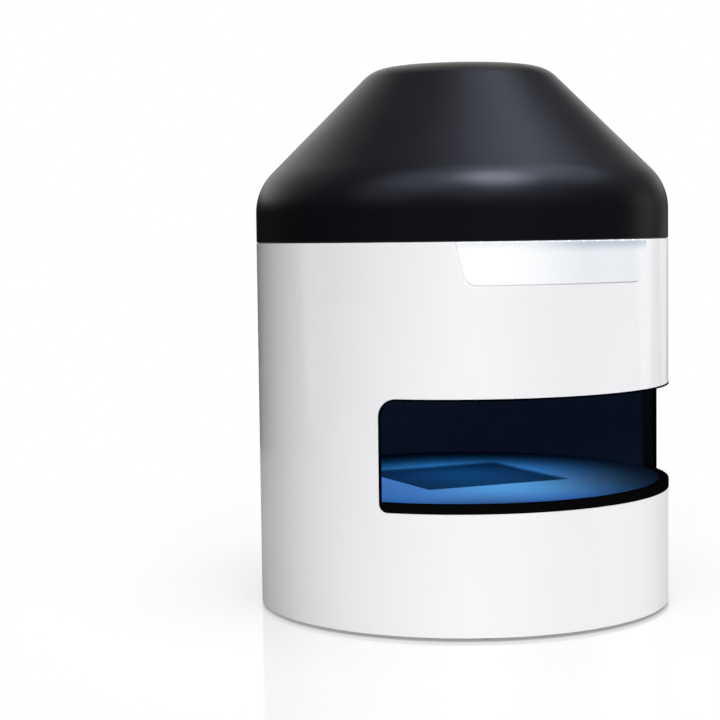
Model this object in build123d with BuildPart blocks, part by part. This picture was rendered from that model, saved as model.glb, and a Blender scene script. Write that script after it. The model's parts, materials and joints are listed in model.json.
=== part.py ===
from build123d import *
from math import cos, degrees, hypot, radians, sin, tan
import os

# Colony counter: a drum-shaped bench instrument that photographs a culture dish from above.
# A white drum with a wrap-round window stands on four feet and carries a black conical cover.
# The window opens into a dark chamber whose floor holds a square glass plate over a light box;
# above the chamber are a white light dome, a ring light and a camera that looks straight down.
# Millimetres and degrees. The origin is on the drum's axis, on the table. The front faces -Y,
# and an angle around the drum is counted from the front, positive towards +X.

os.makedirs("parts", exist_ok=True)

# ---------------------------------------------------------------- fits shared by many pieces
seat_gap = 0.2  # between pieces that are assembled by hand
turn_gap = 0.05  # radial, between a turning piece and what it turns on
m4_radius = 2.0
m5_radius = 2.5
screw_hole_gap = 0.15  # radial, around a screw or a rod
screw_head_radius = 4.0
screw_head_height = 2.4
small_screw_radius = 1.5
small_head_radius = 2.8
small_head_height = 1.8

# ---------------------------------------------------------------- drum shell
shell_radius = 240.0
shell_wall = 2.5
shell_bottom = 4.0  # the drum clears the table by this
seam_height = 424.0  # where the cover meets the drum
flange_width = 15.0  # inward flange at the foot of the drum
flange_screw_count = 8
rear_cover_start = 150.0  # the drum's back is a separate cover between these two angles
rear_cover_end = 210.0
rear_screw_angles = (155.0, 180.0, 205.0)  # these screws go into the edge of the stage
rear_screw_depth = 10.0
shell_bore = shell_radius - shell_wall
flange_screw_circle = shell_bore - flange_width / 2

# ---------------------------------------------------------------- window and chamber
window_left = -50.0  # angle of the window's left edge
window_right = 76.0
window_bottom = 136.0
window_top = 258.0
window_top_corner = 20.0
window_bottom_corner = 10.0
trim_width = 2.0  # black edging seen around the window
trim_proud = 0.5  # how far edging and sill stand out of the drum
trim_lap = 1.0  # how far the edging reaches inside the drum's bore
sill_depth = 11.0  # from the stage's edge to the drum's outside
stage_thickness = 10.0
stage_top = window_bottom + stage_thickness
liner_wall = 3.0
liner_gap = 13.0  # from the liner's outside to the drum's outside, where the spacers stand
liner_right_seam = 129.5  # the wall is three panels that meet at these two angles
liner_left_seam = 219.5
liner_left_end = 302.0  # it ends out of sight behind the drum, beyond the window's left edge
sheet_thickness = 1.0
sheet_rise = 1.5  # from the stage to the sheet, and from the sheet to the ceiling
sheet_corner = 9.0
sheet_margin_angle = 0.6
ceiling_thickness = 3.0
plate_gap = 0.5  # between the drum's bore and the round plates inside it
plate_radius = shell_bore - plate_gap
liner_outer = shell_radius - liner_gap
liner_inner = liner_outer - liner_wall
sill_inner = shell_radius - sill_depth
ceiling_top = window_top + ceiling_thickness

# ---------------------------------------------------------------- stage glass and light box
glass_side = 183.0
glass_thickness = 4.0
glass_recess = 1.2  # the glass lies this far below the stage
glass_ledge = 10.0
glass_bevel = 0.8
light_box_depth = 48.0
light_box_wall = 2.0
light_box_flange = 12.0
diffuser_thickness = 3.0
backlight_board_thickness = 1.6
backlight_rows = 6
backlight_pitch = 24.0
backlight_chip = 5.0
backlight_chip_height = 1.2
backlight_post = 5.0
backlight_post_radius = 3.0
backlight_post_inset = 12.0
stage_cut_side = glass_side - 2 * glass_ledge
light_box_side = stage_cut_side - 2 * light_box_wall
light_box_bottom = window_bottom - light_box_depth

# ---------------------------------------------------------------- base, feet and tie rods
base_thickness = 3.0
vent_offset = 95.0  # from the drum's axis back to the vents
vent_pitch = 16.0
vent_count = 9
vent_length = 60.0
vent_width = 7.0
base_bottom = shell_bottom + shell_wall
base_top = base_bottom + base_thickness
foot_radius = 16.0
foot_taper = 2.0
foot_inset = 50.0  # from the drum's outside to the feet's centres
foot_screw_recess = 4.0
foot_circle = shell_radius - foot_inset
foot_screw_spare = 2.0  # thread left over above the base plate
rod_angles = (100.0, 145.0, 215.0, 285.0)
spacer_radius = 4.6
nut_radius = 4.6
nut_height = 4.0
rod_circle = liner_outer + liner_gap / 2 - shell_wall / 2
post_angles = (-30.0, 52.0)  # two posts stand under the window, where no rod can
post_inset = 35.0  # from the drum's outside to the posts' centres
post_radius = 6.0
post_stud = 6.0
post_bore = 12.0
post_circle = shell_radius - post_inset

# ---------------------------------------------------------------- deck, light dome and ring light
deck_thickness = 3.0
deck_drop = 14.0  # from the seam down to the deck's underside
deck_bottom = seam_height - deck_drop
deck_top = deck_bottom + deck_thickness
dome_radius = 100.0
dome_wall = 2.5
dome_flange = 14.0
ceiling_aperture = 78.0  # radius of the hole under the dome
ceiling_window_ledge = 1.5
ceiling_window_thickness = 2.0
ring_board_thickness = 1.6
ring_board_width = 17.0
ring_board_inset = 2.0  # from the edge of the ceiling's hole
ring_chip = 3.5
ring_chip_height = 1.6
ring_chip_count = 36

# ---------------------------------------------------------------- lens and camera
lens_radius = 22.0  # barrel under its rings
lens_shoulder = 2.5  # how far the shoulders stand out of it
lens_bore = 17.0
lens_front_height = 352.0
lens_front_bore = 20.0
front_cell_length = 10.0
front_glass_thickness = 6.0
front_glass_bulge = 3.0
front_glass_lip = 1.5
focus_ring_length = 18.0
iris_ring_length = 12.0
ring_shoulder = 6.0  # shoulder between the rings, and the one behind them
ring_play = 0.2  # axial, at each end of a ring
ring_wall = 3.5
ring_flute_count = 24
ring_flute_radius = 1.0
lens_tail = 26.0
lens_tail_radius = 16.0
dome_hole_gap = 4.0
camera_width = 64.0
camera_height = 70.0
camera_corner = 4.0
camera_groove_count = 6
camera_groove_pitch = 8.0
camera_groove_width = 3.5
camera_groove_depth = 3.0
bracket_thickness = 4.0
bracket_foot = 34.0
bracket_rib_length = 26.0
bracket_width = 90.0
bracket_corner = 6.0
bracket_screw_inset = 10.0

# ---------------------------------------------------------------- cover
cover_shoulder_height = 485.0  # where the upright skirt and the cone would meet
cover_rim_height = 622.0  # where the cone and the top would meet
cover_top_height = 628.0
cover_top_radius = 102.0
cover_shoulder_round = 64.0
cover_rim_round = 41.0
cover_wall = 4.0
cover_lip_width = 3.0
cover_lip_drop = 5.0
cover_lip_rise = 6.0
cover_boss_radius = 6.0
cover_boss_count = 6
cover_boss_height = 26.0
cover_boss_bore = 14.0
cover_edge_round = 1.2
seam_gap = 0.6  # shadow line between drum and cover

# ---------------------------------------------------------------- badge under the seam
badge_top_width = 238.0
badge_bottom_width = 218.0
badge_height = 47.0
badge_corner = 14.0
badge_thickness = 1.5
badge_bevel = 1.0
badge_chip_height = 1.4
badge_chip_width = 2.4
badge_chip_count = 13
badge_chip_pitch = 19.2  # along the drum's outside

# ---------------------------------------------------------------- rear bay, connectors and fan
bay_width = 200.0
bay_height = 84.0
bay_centre_height = 68.0
bay_depth = 35.0  # from the drum's outside to the inner face of the bay's back wall
bay_wall = 3.0
bay_corner = 8.0
bay_foot = 24.0
bay_proud = 1.5  # how far the bay's rim stands out of the drum
bay_back = shell_radius - bay_depth
switch_x = 76.0  # across the bay, seen from behind, positive to the right
jack_x = 48.0
usb_x = 20.0
fan_x = -50.0
switch_length = 21.0  # of the cavity that the rocker fills
switch_width = 15.0
switch_wall = 1.5
switch_border = 3.0  # of the bezel, around the cavity
switch_bezel = 1.8
switch_depth = 18.0
switch_cavity = 9.0
rocker_side_gap = 0.3
rocker_end_gap = 0.9
rocker_rise = 2.6  # from the pivot to the ends of the rocker's face
rocker_drop = 3.0  # from the pivot to the rocker's underside
rocker_pivot = 1.0  # the pivot lies this far inside the bay's back face
rocker_pin_radius = 1.2
rocker_pin_length = 1.0
rocker_slope = 8.0  # each half of the face falls away from the middle by this
rocker_tilt = 8.0  # the rocker rests tipped this far to its off side
jack_radius = 5.5
jack_flange_radius = 7.0
jack_flange = 2.0
jack_length = 14.0
jack_bore = 3.2
jack_bore_depth = 9.0
jack_pin_radius = 1.05
jack_pin_length = 7.5
usb_width = 12.0
usb_height = 11.0
usb_length = 18.0
usb_proud = 1.0
usb_wall = 0.8
usb_tongue_width = 5.6
usb_tongue_height = 3.2
usb_tongue_length = 9.0
usb_back = 2.0
fan_side = 60.0
fan_depth = 25.0
fan_corner = 4.0
fan_bore = 28.5
fan_screw_span = 50.0
fan_hub_radius = 13.0
fan_blade_count = 7
fan_blade_pitch = 42.0
fan_blade_chord = 22.0
fan_blade_thickness = 1.6
fan_tip_gap = 1.0
fan_end_gap = 1.0
fan_shaft_radius = 1.5
fan_strut_width = 4.0
fan_strut_depth = 3.0
fan_slot_count = 8
fan_slot_pitch = 6.8
fan_slot_width = 4.0

# ---------------------------------------------------------------- control board
board_length = 170.0
board_width = 110.0
board_thickness = 1.6
board_lift = 12.0
board_offset = 60.0  # from the drum's axis forward to the board
board_post_radius = 4.0
board_inset = 7.0
processor_side = 30.0
processor_height = 3.0
heat_sink_fins = 6
heat_sink_fin_pitch = 5.0
heat_sink_fin_width = 1.5
heat_sink_fin_height = 12.0
capacitor_radius = 5.0
capacitor_height = 14.0
capacitor_count = 4
capacitor_pitch = 14.0
header_length = 40.0
header_width = 6.0
header_height = 9.0

on_floor = (Align.CENTER, Align.CENTER, Align.MIN)
from_corner = (Align.MIN, Align.MIN)


def at_angle(radius, angle):
    """The point at that radius and angle around the drum."""
    return (radius * sin(radians(angle)), -radius * cos(radians(angle)))


def radial_plane(angle):
    """The upright half plane at that angle: its x runs outward and its y runs up."""
    x, y = at_angle(1, angle)
    return Plane(origin=(0, 0, 0), x_dir=(x, y, 0), z_dir=(y, -x, 0))


def rear_plane(y):
    """The upright plane at that y as seen from behind: its x runs towards -X and its y runs up."""
    return Plane(origin=(0, y, 0), x_dir=(-1, 0, 0), z_dir=(0, 1, 0))


def outward_plane(radius, angle, height):
    """The plane that faces outward from the drum's axis at that place."""
    return Plane(origin=(*at_angle(radius, angle), height), z_dir=(*at_angle(1, angle), 0))


def arc_block(start, end, inner, outer, low, high):
    """A block between two angles, two radii and two heights."""
    with BuildPart() as block:
        with BuildSketch(radial_plane(start)):
            with Locations(((inner + outer) / 2, (low + high) / 2)):
                Rectangle(outer - inner, high - low)
        revolve(axis=Axis.Z, revolution_arc=end - start)
    return block.part


def window_block(inset, inner, outer):
    """A block of the window's shape with its rounded corners, drawn in from the edges by inset."""
    inset_angle = degrees(inset / shell_radius)
    with BuildPart() as block:
        add(
            arc_block(
                window_left + inset_angle,
                window_right - inset_angle,
                inner,
                outer,
                window_bottom + inset,
                window_top - inset,
            )
        )
        corners = block.edges().filter_by(GeomType.LINE).filter_by(Axis.Z, reverse=True).group_by(Axis.Z)
        fillet(corners[-1], window_top_corner - inset)
        corners = block.edges().filter_by(GeomType.LINE).filter_by(Axis.Z, reverse=True).group_by(Axis.Z)
        fillet(corners[0], window_bottom_corner - inset)
    return block.part


def washer(inner, outer, low, high):
    """A flat or tall ring on the drum's axis, or a disc where the inner radius is 0."""
    with BuildPart() as ring:
        with BuildSketch(Plane.XY.offset(low)):
            Circle(outer)
            if inner > 0:
                Circle(inner, mode=Mode.SUBTRACT)
        extrude(amount=high - low)
    return ring.part


def cap_screw(shank_radius, shank_length, head_radius, head_height):
    """A hexagon-socket screw: head above the origin plane, shank below it."""
    with BuildPart() as screw:
        with BuildSketch():
            Circle(head_radius)
        extrude(amount=head_height)
        with BuildSketch(Plane.XY.offset(head_height)):
            RegularPolygon(shank_radius * 0.75, 6)
        extrude(amount=-head_height * 0.6, mode=Mode.SUBTRACT)
        with BuildSketch():
            Circle(shank_radius)
        extrude(amount=-shank_length)
    return screw.part


def around(radius, count, start=0.0):
    """Places spread evenly round the drum, the first at the start angle."""
    return [at_angle(radius, start + 360 * i / count) for i in range(count)]


rod_places = [at_angle(rod_circle, a) for a in rod_angles]
post_places = [at_angle(post_circle, a) for a in post_angles]
foot_places = around(foot_circle, 4, 45)
flange_screw_places = around(flange_screw_circle, flange_screw_count, 180 / flange_screw_count)
cover_boss_circle = shell_bore - seat_gap - cover_boss_radius
cover_boss_places = around(cover_boss_circle, cover_boss_count)
glass_bottom = stage_top - glass_recess - glass_thickness

# ================================================================ drum shell
# The drum is rolled from a lower band, an upper band and two walls beside the window, which are
# welded and ground flush. Its back is a cover that comes off.
front_start = rear_cover_end - 360
window_middle = (window_left + window_right) / 2
shell_top = seam_height - seam_gap
window_hole = window_block(0, shell_bore - 2 * shell_wall, shell_radius + 2 * shell_wall)
lower_band = arc_block(
    front_start, rear_cover_start, shell_bore, shell_radius, shell_bottom, window_bottom
)
lower_flange = arc_block(
    front_start, rear_cover_start, shell_bore - flange_width, shell_bore, shell_bottom, base_bottom
)
with BuildPart() as lower_shell:
    add(lower_band)
    add(lower_flange)
    with BuildSketch(Plane.XY.offset(shell_bottom)):
        with Locations(*flange_screw_places):
            Circle(m4_radius + screw_hole_gap)
    extrude(amount=shell_wall, mode=Mode.SUBTRACT)
lower_shell.part.label = "lower_shell"
export_step(lower_shell.part, "parts/lower_shell.step")

upper_band = arc_block(front_start, rear_cover_start, shell_bore, shell_radius, window_top, shell_top)
with BuildPart() as upper_shell:
    add(upper_band)
upper_shell.part.label = "upper_shell"
export_step(upper_shell.part, "parts/upper_shell.step")

left_band = arc_block(front_start, window_middle, shell_bore, shell_radius, window_bottom, window_top)
with BuildPart() as left_wall:
    add(left_band)
    add(window_hole, mode=Mode.SUBTRACT)
left_wall.part.label = "left_wall"
export_step(left_wall.part, "parts/left_wall.step")

right_band = arc_block(
    window_middle, rear_cover_start, shell_bore, shell_radius, window_bottom, window_top
)
with BuildPart() as right_wall:
    add(right_band)
    add(window_hole, mode=Mode.SUBTRACT)
right_wall.part.label = "right_wall"
export_step(right_wall.part, "parts/right_wall.step")

# ================================================================ the drum's back
rear_gap_angle = degrees(seat_gap / shell_radius)
rear_start = rear_cover_start + rear_gap_angle
rear_end = rear_cover_end - rear_gap_angle
rear_screw_planes = [
    outward_plane(shell_radius, angle, window_bottom + stage_thickness / 2) for angle in rear_screw_angles
]
rear_band = arc_block(rear_start, rear_end, shell_bore, shell_radius, shell_bottom, shell_top)
rear_flange = arc_block(
    rear_start, rear_end, shell_bore - flange_width, shell_bore, shell_bottom, base_bottom
)
with BuildPart() as rear_cover:
    add(rear_band)
    add(rear_flange)
    with BuildSketch(Plane.XY.offset(shell_bottom)):
        with Locations(*flange_screw_places):
            Circle(m4_radius + screw_hole_gap)
    extrude(amount=shell_wall, mode=Mode.SUBTRACT)
    with BuildSketch(rear_plane(bay_back)):
        with Locations((0, bay_centre_height)):
            RectangleRounded(bay_width, bay_height, bay_corner)
    extrude(amount=shell_radius, mode=Mode.SUBTRACT)
    with Locations(*rear_screw_planes):
        Cylinder(small_screw_radius + screw_hole_gap, 4 * shell_wall, mode=Mode.SUBTRACT)
rear_cover.part.label = "rear_cover"
export_step(rear_cover.part, "parts/rear_cover.step")

rear_screw = cap_screw(small_screw_radius, rear_screw_depth, small_head_radius, small_head_height)
with BuildPart() as rear_screws:
    with Locations(*rear_screw_planes):
        add(rear_screw)
rear_screws.part.label = "rear_screws"
export_step(rear_screws.part, "parts/rear_screws.step")

# ================================================================ window edging and sill
trim_outline = window_block(seat_gap, shell_bore - trim_lap, shell_radius + trim_proud)
trim_inside = window_block(trim_width, shell_bore - 2 * trim_lap, shell_radius + 2 * shell_wall)
with BuildPart() as window_trim:
    add(trim_outline)
    add(trim_inside, mode=Mode.SUBTRACT)
    split(bisect_by=Plane.XY.offset(stage_top), keep=Keep.TOP)
window_trim.part.label = "window_trim"
export_step(window_trim.part, "parts/window_trim.step")

sill_outline = window_block(seat_gap, sill_inner + seat_gap, shell_radius + trim_proud)
with BuildPart() as window_sill:
    add(sill_outline)
    split(bisect_by=Plane.XY.offset(stage_top), keep=Keep.BOTTOM)
    rim = window_sill.faces().sort_by(Axis.Z)[-1].edges().filter_by(GeomType.CIRCLE)
    fillet(rim.sort_by(SortBy.LENGTH)[-1], trim_width / 2)
window_sill.part.label = "window_sill"
export_step(window_sill.part, "parts/window_sill.step")

# ================================================================ base plate and its screws
with BuildPart() as base_plate:
    with BuildSketch(Plane.XY.offset(base_bottom)):
        Circle(plate_radius)
        with Locations(*flange_screw_places):
            Circle(m4_radius, mode=Mode.SUBTRACT)
        with Locations(*foot_places, *post_places):
            Circle(m4_radius + screw_hole_gap, mode=Mode.SUBTRACT)
        with Locations(*rod_places):
            Circle(m5_radius, mode=Mode.SUBTRACT)
        with Locations((0, vent_offset)):
            with GridLocations(vent_pitch, 0, vent_count, 1):
                SlotOverall(vent_length, vent_width, rotation=90, mode=Mode.SUBTRACT)
    extrude(amount=base_thickness)
base_plate.part.label = "base_plate"
export_step(base_plate.part, "parts/base_plate.step")

low_screw = cap_screw(m4_radius, shell_wall + base_thickness, screw_head_radius, screw_head_height)
with BuildPart() as base_screws:
    with Locations(*[Location((x, y, shell_bottom), (180, 0, 0)) for x, y in flange_screw_places]):
        add(low_screw)
base_screws.part.label = "base_screws"
export_step(base_screws.part, "parts/base_screws.step")

# ================================================================ feet and their screws
with BuildPart() as rubber_feet:
    with Locations(*foot_places):
        Cone(foot_radius - foot_taper, foot_radius, base_bottom, align=on_floor)
    fillet(rubber_feet.faces().group_by(Axis.Z)[0].edges(), foot_taper / 2)
    with BuildSketch():
        with Locations(*foot_places):
            Circle(screw_head_radius + seat_gap)
    extrude(amount=foot_screw_recess, mode=Mode.SUBTRACT)
    with BuildSketch(Plane.XY.offset(foot_screw_recess)):
        with Locations(*foot_places):
            Circle(m4_radius + screw_hole_gap)
    extrude(amount=base_bottom - foot_screw_recess, mode=Mode.SUBTRACT)
rubber_feet.part.label = "rubber_feet"
export_step(rubber_feet.part, "parts/rubber_feet.step")

foot_screw = cap_screw(
    m4_radius, base_top + foot_screw_spare - foot_screw_recess, screw_head_radius, screw_head_height
)
with BuildPart() as foot_screws:
    with Locations(*[Location((x, y, foot_screw_recess), (180, 0, 0)) for x, y in foot_places]):
        add(foot_screw)
foot_screws.part.label = "foot_screws"
export_step(foot_screws.part, "parts/foot_screws.step")

# ================================================================ stage with its glass
sill_relief = window_block(0, sill_inner, shell_radius + 2 * shell_wall)
with BuildPart() as stage_plate:
    with BuildSketch(Plane.XY.offset(window_bottom)):
        Circle(plate_radius)
        Rectangle(stage_cut_side, stage_cut_side, mode=Mode.SUBTRACT)
        with Locations(*rod_places):
            Circle(m5_radius + screw_hole_gap, mode=Mode.SUBTRACT)
    extrude(amount=stage_thickness)
    with BuildSketch(Plane.XY.offset(glass_bottom)):
        Rectangle(glass_side + 2 * seat_gap, glass_side + 2 * seat_gap)
    extrude(amount=glass_thickness + glass_recess, mode=Mode.SUBTRACT)
    with BuildSketch(Plane.XY.offset(window_bottom)):
        with Locations(*post_places):
            Circle(m5_radius + screw_hole_gap)
    extrude(amount=post_stud + seat_gap, mode=Mode.SUBTRACT)
    add(sill_relief, mode=Mode.SUBTRACT)
    with Locations(*rear_screw_planes):
        Cylinder(small_screw_radius, 2 * rear_screw_depth, mode=Mode.SUBTRACT)
stage_plate.part.label = "stage_plate"
export_step(stage_plate.part, "parts/stage_plate.step")

with BuildPart() as stage_glass:
    with BuildSketch(Plane.XY.offset(glass_bottom)):
        Rectangle(glass_side, glass_side)
    extrude(amount=glass_thickness)
    chamfer(stage_glass.faces().sort_by(Axis.Z)[-1].edges(), glass_bevel)
stage_glass.part.label = "stage_glass"
export_step(stage_glass.part, "parts/stage_glass.step")

# ================================================================ light box under the glass
with BuildPart() as light_box:
    with BuildSketch(Plane.XY.offset(light_box_bottom)):
        Rectangle(stage_cut_side, stage_cut_side)
    extrude(amount=light_box_depth)
    with BuildSketch(Plane.XY.offset(window_bottom - light_box_wall)):
        Rectangle(stage_cut_side + 2 * light_box_flange, stage_cut_side + 2 * light_box_flange)
    extrude(amount=light_box_wall)
    with BuildSketch(Plane.XY.offset(light_box_bottom + light_box_wall)):
        Rectangle(light_box_side, light_box_side)
    extrude(amount=light_box_depth, mode=Mode.SUBTRACT)
    post_span = light_box_side - 2 * backlight_post_inset
    with BuildSketch(Plane.XY.offset(light_box_bottom + light_box_wall)):
        with GridLocations(post_span, post_span, 2, 2):
            Circle(backlight_post_radius)
    extrude(amount=backlight_post)
light_box.part.label = "light_box"
export_step(light_box.part, "parts/light_box.step")

backlight_bottom = light_box_bottom + light_box_wall + backlight_post
with BuildPart() as backlight_board:
    with BuildSketch(Plane.XY.offset(backlight_bottom)):
        Rectangle(light_box_side - 2 * plate_gap, light_box_side - 2 * plate_gap)
    extrude(amount=backlight_board_thickness)
backlight_board.part.label = "backlight_board"
export_step(backlight_board.part, "parts/backlight_board.step")

with BuildPart() as backlight_leds:
    with BuildSketch(Plane.XY.offset(backlight_bottom + backlight_board_thickness)):
        with GridLocations(backlight_pitch, backlight_pitch, backlight_rows, backlight_rows):
            Rectangle(backlight_chip, backlight_chip)
    extrude(amount=backlight_chip_height)
backlight_leds.part.label = "backlight_leds"
export_step(backlight_leds.part, "parts/backlight_leds.step")

with BuildPart() as diffuser_plate:
    with BuildSketch(Plane.XY.offset(window_bottom)):
        Rectangle(stage_cut_side - 2 * seat_gap, stage_cut_side - 2 * seat_gap)
    extrude(amount=diffuser_thickness)
diffuser_plate.part.label = "diffuser_plate"
export_step(diffuser_plate.part, "parts/diffuser_plate.step")

# ================================================================ rods, spacers and posts between the floors
with BuildPart() as tie_rods:
    with BuildSketch(Plane.XY.offset(base_bottom)):
        with Locations(*rod_places):
            Circle(m5_radius)
    extrude(amount=deck_top + nut_height - base_bottom)
tie_rods.part.label = "tie_rods"
export_step(tie_rods.part, "parts/tie_rods.step")

with BuildPart() as floor_spacers:
    for low, high in ((base_top, window_bottom), (stage_top, window_top), (ceiling_top, deck_bottom)):
        with BuildSketch(Plane.XY.offset(low)):
            with Locations(*rod_places):
                Circle(spacer_radius)
                Circle(m5_radius + screw_hole_gap, mode=Mode.SUBTRACT)
        extrude(amount=high - low)
floor_spacers.part.label = "floor_spacers"
export_step(floor_spacers.part, "parts/floor_spacers.step")

with BuildPart() as floor_posts:
    for low, high, stud in (
        (base_top, window_bottom, post_stud),
        (ceiling_top, deck_bottom, deck_thickness + nut_height),
    ):
        with BuildSketch(Plane.XY.offset(low)):
            with Locations(*post_places):
                Circle(post_radius)
        extrude(amount=high - low)
        with BuildSketch(Plane.XY.offset(high)):
            with Locations(*post_places):
                Circle(m5_radius)
        extrude(amount=stud)
        with BuildSketch(Plane.XY.offset(low)):
            with Locations(*post_places):
                Circle(m4_radius)
        extrude(amount=post_bore, mode=Mode.SUBTRACT)
floor_posts.part.label = "floor_posts"
export_step(floor_posts.part, "parts/floor_posts.step")

with BuildPart() as deck_nuts:
    with BuildSketch(Plane.XY.offset(deck_top)):
        with Locations(*rod_places, *post_places):
            RegularPolygon(nut_radius, 6)
            Circle(m5_radius, mode=Mode.SUBTRACT)
    extrude(amount=nut_height)
deck_nuts.part.label = "deck_nuts"
export_step(deck_nuts.part, "parts/deck_nuts.step")

plate_screw = cap_screw(m4_radius, base_thickness + post_bore / 2, screw_head_radius, screw_head_height)
with BuildPart() as post_screws:
    for low in (base_bottom, window_top):
        with Locations(*[Location((x, y, low), (180, 0, 0)) for x, y in post_places]):
            add(plate_screw)
post_screws.part.label = "post_screws"
export_step(post_screws.part, "parts/post_screws.step")

# ================================================================ chamber wall and ceiling
# Each end of the wall turns outward and closes the gap to the drum.
liner_gap_angle = degrees(seat_gap / 2 / liner_outer)
liner_fold_angle = degrees(liner_wall / liner_outer)
liner_fold_radius = shell_bore - trim_lap - seat_gap
right_panel = arc_block(
    window_right, liner_right_seam - liner_gap_angle, liner_inner, liner_outer, stage_top, window_top
)
right_fold = arc_block(
    window_right, window_right + liner_fold_angle, liner_inner, liner_fold_radius, stage_top, window_top
)
with BuildPart() as liner_right:
    add(right_panel)
    add(right_fold)
liner_right.part.label = "liner_right"
export_step(liner_right.part, "parts/liner_right.step")

back_panel = arc_block(
    liner_right_seam + liner_gap_angle,
    liner_left_seam - liner_gap_angle,
    liner_inner,
    liner_outer,
    stage_top,
    window_top,
)
with BuildPart() as liner_back:
    add(back_panel)
liner_back.part.label = "liner_back"
export_step(liner_back.part, "parts/liner_back.step")

left_panel = arc_block(
    liner_left_seam + liner_gap_angle, liner_left_end, liner_inner, liner_outer, stage_top, window_top
)
left_fold = arc_block(
    liner_left_end - liner_fold_angle, liner_left_end, liner_inner, liner_fold_radius, stage_top, window_top
)
with BuildPart() as liner_left:
    add(left_panel)
    add(left_fold)
liner_left.part.label = "liner_left"
export_step(liner_left.part, "parts/liner_left.step")

# A thin sheet with rounded corners lies on the right panel.
sheet_outline = arc_block(
    window_right + sheet_margin_angle,
    liner_right_seam - sheet_margin_angle,
    liner_inner - sheet_thickness,
    liner_inner,
    stage_top + sheet_rise,
    window_top - sheet_rise,
)
with BuildPart() as side_sheet:
    add(sheet_outline)
    fillet(side_sheet.edges().filter_by(GeomType.LINE).filter_by(Axis.Z, reverse=True), sheet_corner)
side_sheet.part.label = "side_sheet"
export_step(side_sheet.part, "parts/side_sheet.step")

with BuildPart() as chamber_ceiling:
    with BuildSketch(Plane.XY.offset(window_top)):
        Circle(plate_radius)
        Circle(ceiling_aperture, mode=Mode.SUBTRACT)
        with Locations(*rod_places):
            Circle(m5_radius + screw_hole_gap, mode=Mode.SUBTRACT)
        with Locations(*post_places):
            Circle(m4_radius + screw_hole_gap, mode=Mode.SUBTRACT)
    extrude(amount=ceiling_thickness)
chamber_ceiling.part.label = "chamber_ceiling"
export_step(chamber_ceiling.part, "parts/chamber_ceiling.step")

ceiling_glass = washer(
    0, ceiling_aperture + ceiling_window_ledge, ceiling_top, ceiling_top + ceiling_window_thickness
)
with BuildPart() as ceiling_window:
    add(ceiling_glass)
ceiling_window.part.label = "ceiling_window"
export_step(ceiling_window.part, "parts/ceiling_window.step")

# ================================================================ light dome and ring light
lens_shoulder_radius = lens_radius + lens_shoulder
dome_hole = lens_shoulder_radius + dome_hole_gap
with BuildPart() as light_dome:
    with BuildSketch(Plane.XZ):
        with Locations((0, ceiling_top)):
            Circle(dome_radius + dome_wall)
            Circle(dome_radius, mode=Mode.SUBTRACT)
        with Locations((dome_hole, ceiling_top)):
            Rectangle(2 * dome_radius, 2 * dome_radius, align=from_corner, mode=Mode.INTERSECT)
        with Locations((dome_radius, ceiling_top)):
            Rectangle(dome_wall + dome_flange, dome_wall, align=from_corner)
    revolve(axis=Axis.Z)
light_dome.part.label = "light_dome"
export_step(light_dome.part, "parts/light_dome.step")

ring_board_inner = ceiling_aperture + ring_board_inset
ring_light = washer(
    ring_board_inner, ring_board_inner + ring_board_width, ceiling_top, ceiling_top + ring_board_thickness
)
with BuildPart() as ring_board:
    add(ring_light)
ring_board.part.label = "ring_board"
export_step(ring_board.part, "parts/ring_board.step")

with BuildPart() as ring_leds:
    with BuildSketch(Plane.XY.offset(ceiling_top + ring_board_thickness)):
        with PolarLocations(ring_board_inner + ring_board_width / 2, ring_chip_count):
            Rectangle(ring_chip, ring_chip)
    extrude(amount=ring_chip_height)
ring_leds.part.label = "ring_leds"
export_step(ring_leds.part, "parts/ring_leds.step")

# ================================================================ lens, stacked upwards from its front
cell_top = lens_front_height + front_cell_length
focus_low = cell_top + ring_play
focus_high = focus_low + focus_ring_length
middle_low = focus_high + ring_play
middle_high = middle_low + ring_shoulder
iris_low = middle_high + ring_play
iris_high = iris_low + iris_ring_length
mount_low = iris_high + ring_play
mount_high = mount_low + ring_shoulder
camera_bottom = mount_high + lens_tail

with BuildPart() as lens_front_cell:
    with BuildSketch(Plane.XY.offset(lens_front_height)):
        Circle(lens_shoulder_radius)
    extrude(amount=front_cell_length)
    with BuildSketch(Plane.XY.offset(lens_front_height)):
        Circle(lens_front_bore)
    with BuildSketch(Plane.XY.offset(cell_top)):
        Circle(lens_bore - front_glass_lip)
    loft(mode=Mode.SUBTRACT)
    chamfer(lens_front_cell.faces().sort_by(Axis.Z)[0].outer_wire().edges(), front_glass_lip / 2)
lens_front_cell.part.label = "lens_front_cell"
export_step(lens_front_cell.part, "parts/lens_front_cell.step")

with BuildPart() as lens_barrel:
    with BuildSketch(Plane.XY.offset(cell_top)):
        Circle(lens_radius)
    extrude(amount=mount_low - cell_top)
    with BuildSketch(Plane.XY.offset(middle_low)):
        Circle(lens_shoulder_radius)
    extrude(amount=ring_shoulder)
    with BuildSketch(Plane.XY.offset(cell_top)):
        Circle(lens_bore)
    extrude(amount=front_glass_thickness, mode=Mode.SUBTRACT)
    with BuildSketch(Plane.XY.offset(cell_top)):
        Circle(lens_bore - front_glass_lip)
    extrude(amount=mount_low - cell_top, mode=Mode.SUBTRACT)
lens_barrel.part.label = "lens_barrel"
export_step(lens_barrel.part, "parts/lens_barrel.step")

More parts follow.
